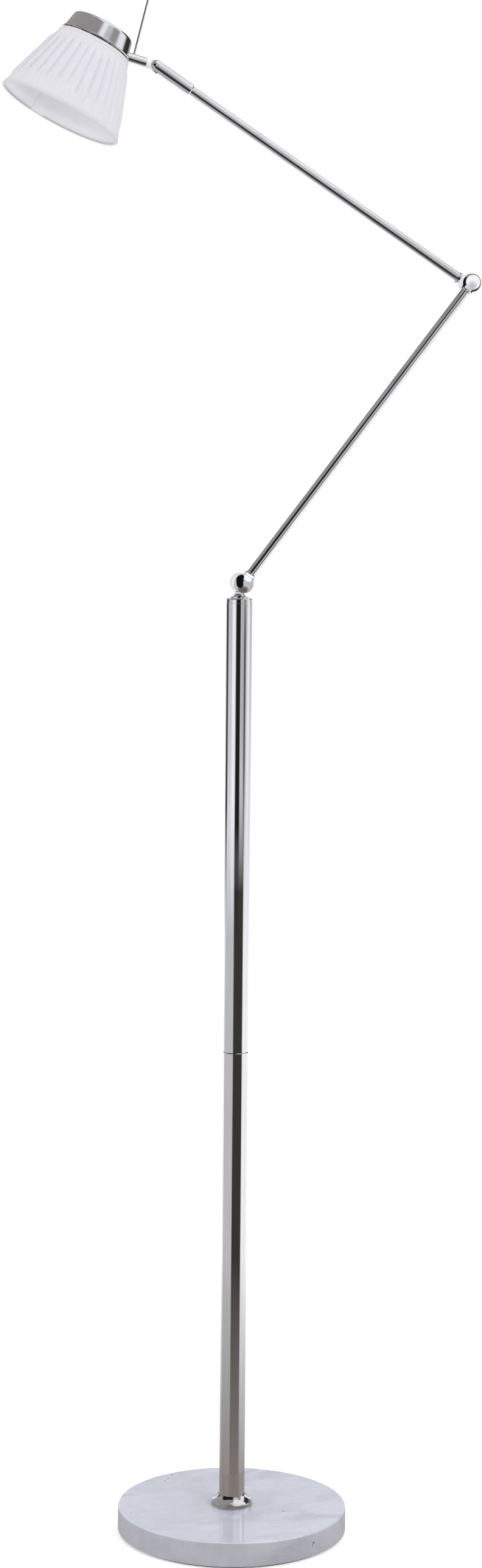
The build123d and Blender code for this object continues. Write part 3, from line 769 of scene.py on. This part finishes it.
def makeLiner():
    sizes = linerRoll
    lap = sizes["overlapMm"] / 1000 / linerCone["lowRadius"]
    stepIn = sizes["stepMm"] / 1000 / linerCone["lowRadius"]
    rows = []
    for level in range(sizes["rows"]):
        height = linerCone["low"] + level / (sizes["rows"] - 1) * (linerCone["high"] - linerCone["low"])
        row = []
        for step in range(sizes["steps"] + 1):
            turn = (2 * math.pi + lap) * step / sizes["steps"]
            inward = smoothStep(turn, 2 * math.pi - stepIn, 2 * math.pi)
            radius = coneRadius(linerCone, height) - sizes["thick"] * (0.5 + sizes["lapLift"] * inward)
            angle = turn + math.radians(sizes["seamAngle"])
            row.append((onShade(radius, angle, height), (turn * linerCone["lowRadius"], height)))
        rows.append(row)
    liner = sheetPiece("shadeLiner", rows, False, sizes["thick"], finishOfSlot["shade_liner"])
    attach(liner, "head")
    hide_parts("shade_liner")


makeLiner()
print("liner rolled")


# Studio: white floor and world, soft lamps, and a surround that only the metal reflects

studio = {
    "ambient": 0.72,  # world light on the object
    "floorColour": "#EDEDEE",
    "floorLift": 0.42,  # makes the lit floor white in the picture, while its shadow stays
    "floorReach": 40,  # metres
}

# what the metal mirrors: a round grey room, lighter at its floor than at its ceiling
surroundRoom = {
    "radius": 4.0,
    "wallTop": 3.0,
    "domeTop": 6.0,
    "domeRings": 8,
    "steps": 96,
    "foot": 0.126,  # radius where its floor starts, just outside the disc
    "lift": 0.0005,  # above the floor and the disc
    "warm": (1.15, 1.0, 0.9),  # tint of its dark parts
    "cool": (0.985, 0.99, 1.03),  # tint of its light parts
    "warmToCool": (0.25, 0.7),  # tones between which the tint changes
    "tones": [(0.0, 1.5), (0.6, 1.0), (1.5, 0.5), (6.0, 0.45)],  # height in metres and tone
    "nearTone": 0.35,  # floor beside the lamp
    "nearShare": 0.9,  # how much of that tone shows at the disc
    "nearReach": 1.2,  # metres from the lamp at which none is left
    "footRing": (0.0245, 0.1245),  # radii of a ring that lies on the disc
}

# cards and flags in that room: degrees from the camera to the picture's right, metres above the floor
cardEdge = {"degrees": 10, "metres": 0.3}  # how softly a card ends
studioCards = {
    "leftFloor": {"bearing": (-120, -25), "height": (-1, 0.2), "tone": 0.85},
    "frontFloor": {"bearing": (-25, 60), "height": (-1, 0.3), "tone": 0.06},
    "leftFlag": {"bearing": (-140, -105), "height": (0.2, 1.0), "tone": 0.1},
    "leftCard": {"bearing": (-60, -30), "height": (0.2, 1.0), "tone": 1.5},
    "lowFlag": {"bearing": (-25, 15), "height": (0.15, 1.2), "tone": 0.02},
    "lowCard": {"bearing": (20, 45), "height": (0.4, 1.6), "tone": 0.75},
    "lowGap": {"bearing": (45, 65), "height": (0.3, 0.9), "tone": 0.15},
    "cameraSide": {"bearing": (-80, 12), "height": (1.0, 4.0), "tone": 0.02},
    "frontBox": {"bearing": (20, 55), "height": (1.7, 4.0), "tone": 0.9},
    "topBox": {"bearing": (20, 150), "height": (3.8, 7.0), "tone": 1.4},
    "sideBox": {"bearing": (80, 110), "height": (0.2, 4.0), "tone": 1.4},
    "rearFlag": {"bearing": (115, 150), "height": (1.0, 4.0), "tone": 0.05},
}

# tents close round the joints' balls, seen only in them: painted reflections, their dark cards painted
# shade and their light cards painted highlights. Each has its own tone and soft-edged cards, whose places
# are along the picture's right, up and towards the camera
tentDetail = 4  # subdivisions of a tent's sphere
paintedBallReflections = {
    "poleFrontTent": {
        "round": ("pole_joint_front_ball", "pole_joint_bolt"), "radius": 0.0126, "tone": 0.9,
        "cards": [
            {"place": (0.0, -0.2, -1.0), "reach": 80, "soft": 16, "tone": 0.5},
            {"place": (-0.1, -0.8, 0.55), "reach": 36, "soft": 20, "tone": 0.2},
            {"place": (0.5, 0.75, 0.44), "reach": 33, "soft": 12, "tone": 1.75},
            {"place": (-0.52, -0.05, 0.85), "reach": 29, "soft": 7, "tone": 0.01},
            {"place": (-0.52, 0.4, 0.75), "reach": 31, "soft": 7, "tone": 0.01},
            {"place": (-0.47, 0.75, 0.45), "reach": 31, "soft": 7, "tone": 0.01},
        ],
    },
    "poleRearTent": {
        "round": ("pole_joint_rear_ball", "pole_joint_bolt"), "radius": 0.0126, "tone": 1.3,
        "cards": [
            {"place": (0.0, 0.3, -1.0), "reach": 78, "soft": 20, "tone": 0.9},
            {"place": (-0.35, 0.1, 0.9), "reach": 32, "soft": 24, "tone": 1.7},
        ],
    },
    "elbowFrontTent": {
        "round": ("elbow_front_ball", "elbow_bolt"), "radius": 0.0118, "tone": 0.35,
        "cards": [
            {"place": (0.2, -0.9, -0.2), "reach": 45, "soft": 20, "tone": 0.08},
            {"place": (-0.94, -0.1, 0.34), "reach": 48, "soft": 8, "tone": 0.01},
            {"place": (0.2, 0.12, 1.0), "reach": 66, "soft": 14, "tone": 1.75},
            {"place": (-0.05, -0.5, 0.85), "reach": 30, "soft": 34, "tone": 1.0},
        ],
    },
    "elbowRearTent": {
        "round": ("elbow_rear_ball", "elbow_bolt"), "radius": 0.0118, "tone": 1.45,
        "cards": [
            {"place": (0.0, 0.0, -1.0), "reach": 78, "soft": 20, "tone": 0.9},
            {"place": (-0.3, -0.5, 0.8), "reach": 34, "soft": 24, "tone": 1.2},
        ],
    },
}


def seenRays(tree):  # 1 for what the camera, a mirror or glass looks at
    glossy = addNode(tree, "LightPath", out="Is Glossy Ray")
    path = glossy.node.outputs
    pair = addNode(tree, "Math", {
        "Value": path["Is Camera Ray"], "Value_001": glossy}, operation="MAXIMUM")
    return addNode(tree, "Math", {
        "Value": pair, "Value_001": path["Is Transmission Ray"]}, operation="MAXIMUM")


def makeWorld():
    world = bpy.data.worlds.new("whiteStudio")
    scene.world = world
    world.use_nodes = True
    tree = world.node_tree
    tree.nodes.clear()
    level = addNode(tree, "MapRange", {
        "Value": seenRays(tree), "To Min": studio["ambient"], "To Max": 1.0})
    sky = addNode(tree, "Background", {"Color": grey(1), "Strength": level})
    addNode(tree, "OutputWorld", {"Surface": sky})


def makeFloor():
    reach = studio["floorReach"]
    mesh = bpy.data.meshes.new("studioFloor")
    corners = [(-reach, -reach, 0), (reach, -reach, 0), (reach, reach, 0), (-reach, reach, 0)]
    mesh.from_pydata(corners, [], [(0, 1, 2, 3)])
    finish, tree = newFinish("paleSweep")
    matt = addNode(tree, "BsdfDiffuse", {"Color": linearColour(studio["floorColour"])})
    lift = addNode(tree, "Math", {
        "Value": seenRays(tree), "Value_001": studio["floorLift"]}, operation="MULTIPLY")
    glow = addNode(tree, "Emission", {"Strength": lift})
    both = addNode(tree, "AddShader", {"Shader": matt, "Shader_001": glow})
    addNode(tree, "OutputMaterial", {"Surface": both})
    mesh.materials.append(finish)
    floor = bpy.data.objects.new("studioFloor", mesh)
    scene.collection.objects.link(floor)


def roomRings():  # radius and height of the room's rings, from its floor over the wall to the dome
    room = surroundRoom
    rise = room["domeTop"] - room["wallTop"]
    rings = [(room["foot"], room["lift"]), (room["radius"], room["lift"])]
    for ring in range(room["domeRings"]):
        lean = math.pi / 2 * ring / room["domeRings"]
        rings.append((room["radius"] * math.cos(lean), room["wallTop"] + rise * math.sin(lean)))
    return rings


def footRings():
    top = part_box("marble_base")[1].z + surroundRoom["lift"]
    return [(radius, top) for radius in surroundRoom["footRing"]]


def makeSurround(name, rings, oneSided):
    steps = surroundRoom["steps"]
    points = []
    for radius, height in rings:
        for step in range(steps):
            angle = 2 * math.pi * step / steps
            points.append((radius * math.cos(angle), radius * math.sin(angle), height))
    faces = []
    for low in range(0, (len(rings) - 1) * steps, steps):
        for step in range(steps):
            beside = (step + 1) % steps
            faces.append((low + step, low + steps + step, low + steps + beside, low + beside))
    mesh = bpy.data.meshes.new(name)
    mesh.from_pydata(points, [], faces)
    mesh.materials.append(studioTones(name, oneSided))
    surround = bpy.data.objects.new(name, mesh)
    scene.collection.objects.link(surround)
    towardCamera = -pictureAway
    surround.rotation_euler.z = math.atan2(towardCamera.y, towardCamera.x)
    onlyMirrored(surround)


def roomTone(level):  # the room's darker parts are warm, its lighter ones cool
    share = smoothStep(level, *surroundRoom["warmToCool"])
    pairs = zip(surroundRoom["warm"], surroundRoom["cool"])
    return (*(level * (warm + share * (cool - warm)) for warm, cool in pairs), 1.0)


def turnShare(degrees):  # a bearing as a share of the full turn, 0.5 towards the camera
    return 0.5 + degrees / 360


def cardShare(tree, bearing, height, card):  # 1 on the card, 0 off it
    left, right = card["bearing"]
    low, high = card["height"]
    side = cardEdge["degrees"] / 2
    rise = cardEdge["metres"] / 2
    across = addNode(tree, "ValToRGB", {"Fac": bearing}, stops=[
        (turnShare(left - side), grey(0)), (turnShare(left + side), grey(1)),
        (turnShare(right - side), grey(1)), (turnShare(right + side), grey(0))])
    above = addNode(tree, "MapRange", {
        "Value": height, "From Min": low - rise, "From Max": low + rise})
    below = addNode(tree, "MapRange", {
        "Value": height, "From Min": high - rise, "From Max": high + rise,
        "To Min": 1.0, "To Max": 0.0})
    upright = addNode(tree, "Math", {"Value": above, "Value_001": below}, operation="MULTIPLY")
    return addNode(tree, "Math", {"Value": across, "Value_001": upright}, operation="MULTIPLY")


def studioTones(name, oneSided):  # the grey room with its cards and flags
    room = surroundRoom
    finish, tree = newFinish(name)
    place = addNode(tree, "TexCoord", out="Object")
    bearing = addNode(tree, "TexGradient", {"Vector": place}, out="Fac", gradient_type="RADIAL")
    height = addNode(tree, "SeparateXYZ", {"Vector": place}, out="Z")
    level = addNode(tree, "MapRange", {"Value": height, "From Min": 0.0, "From Max": room["domeTop"]})
    colour = addNode(tree, "ValToRGB", {"Fac": level}, stops=[
        (up / room["domeTop"], roomTone(tone)) for up, tone in room["tones"]])
    for card in studioCards.values():
        colour = addNode(tree, "Mix", {
            "Factor_Float": cardShare(tree, bearing, height, card),
            "A_Color": colour, "B_Color": roomTone(card["tone"])}, out="Result_Color", data_type="RGBA")
    away = addNode(tree, "VectorMath", {"Vector": place}, out="Value", operation="LENGTH")
    near = addNode(tree, "MapRange", {
        "Value": away, "From Min": room["foot"], "From Max": room["nearReach"],
        "To Min": room["nearShare"], "To Max": 0.0})
    colour = addNode(tree, "Mix", {
        "Factor_Float": near, "A_Color": colour, "B_Color": roomTone(room["nearTone"])},
        out="Result_Color", data_type="RGBA")
    surface = addNode(tree, "Emission", {"Color": colour})
    if oneSided:
        underside = addNode(tree, "NewGeometry", out="Backfacing")
        clear = addNode(tree, "BsdfTransparent")
        surface = addNode(tree, "MixShader", {
            "Fac": underside, "Shader": surface, "Shader_001": clear})
    addNode(tree, "OutputMaterial", {"Surface": surface})
    return finish


def onlyMirrored(holder):  # a part of the studio that shows nowhere but in the metal
    holder.visible_camera = False
    holder.visible_diffuse = False
    holder.visible_transmission = False
    holder.visible_shadow = False


def paintedTentTones(name, tent):  # painted reflection for one ball: the tent's tone and cards from inside, nothing from outside
    finish, tree = newFinish(name)
    place = addNode(tree, "TexCoord", out="Object")
    direction = addNode(tree, "VectorMath", {"Vector": place}, out="Vector", operation="NORMALIZE")
    colour = roomTone(tent["tone"])
    for card in tent["cards"]:
        right, up, near = card["place"]
        facing = tuple(inPicture(right, -near, up).normalized())
        nearness = addNode(tree, "VectorMath", {"Vector": direction, "Vector_001": facing},
            out="Value", operation="DOT_PRODUCT")
        share = addNode(tree, "MapRange", {
            "Value": nearness, "From Min": math.cos(math.radians(card["reach"] + card["soft"] / 2)),
            "From Max": math.cos(math.radians(card["reach"] - card["soft"] / 2))})
        colour = addNode(tree, "Mix", {
            "Factor_Float": share, "A_Color": colour, "B_Color": roomTone(card["tone"])},
            out="Result_Color", data_type="RGBA")
    glow = addNode(tree, "Emission", {"Color": colour})
    clear = addNode(tree, "BsdfTransparent")
    passed = addNode(tree, "LightPath", out="Transparent Depth")
    first = addNode(tree, "Math", {"Value": passed, "Value_001": 0.5}, operation="LESS_THAN")  # none yet
    inside = addNode(tree, "NewGeometry", out="Backfacing")
    seen = addNode(tree, "Math", {"Value": first, "Value_001": inside}, operation="MULTIPLY")
    both = addNode(tree, "MixShader", {"Fac": seen, "Shader": clear, "Shader_001": glow})
    addNode(tree, "OutputMaterial", {"Surface": both})
    return finish


def makeTents():
    for name, tent in paintedBallReflections.items():
        shape = bmesh.new()
        bmesh.ops.create_icosphere(shape, subdivisions=tentDetail, radius=tent["radius"])
        mesh = bpy.data.meshes.new(name)
        shape.to_mesh(mesh)
        shape.free()
        mesh.materials.append(paintedTentTones(name, tent))
        holder = bpy.data.objects.new(name, mesh)
        scene.collection.objects.link(holder)
        ball, bolt = (middle(node) for node in tent["round"])  # the bolt lies on the ball's axis
        holder.location = (bolt.x, ball.y, bolt.z)
        onlyMirrored(holder)


softLamps = {  # place in the picture's directions, what it points at, size and power
    "keyLamp": {"place": (2.0, -2.0, 2.3), "aim": (0, 0, 0.9), "size": (1.4, 2.0), "power": 26},
    "topLamp": {"place": (-0.3, -0.2, 3.4), "aim": (0, 0, 0.6), "size": (2.4, 2.4), "power": 12},
    "lowFill": {"place": (-1.9, -1.0, 0.4), "aim": (-0.16, 0, 1.55), "size": (1.4, 1.0), "power": 10},
}


def makeLamps():
    for name, lamp in softLamps.items():
        light = bpy.data.lights.new(name, "AREA")
        light.shape = "RECTANGLE"
        light.size, light.size_y = lamp["size"]
        light.energy = lamp["power"]
        holder = bpy.data.objects.new(name, light)
        scene.collection.objects.link(holder)
        holder.location = inPicture(*lamp["place"])
        aim = inPicture(*lamp["aim"]) - holder.location
        holder.rotation_euler = aim.to_track_quat("-Z", "Y").to_euler()
        holder.visible_glossy = False  # the surround shows the metal its lights


makeWorld()
makeFloor()
makeSurround("studioSurround", roomRings(), False)
makeSurround("studioFoot", footRings(), True)
makeTents()
makeLamps()
scene.view_settings.view_transform = "Standard"
print("studio set")
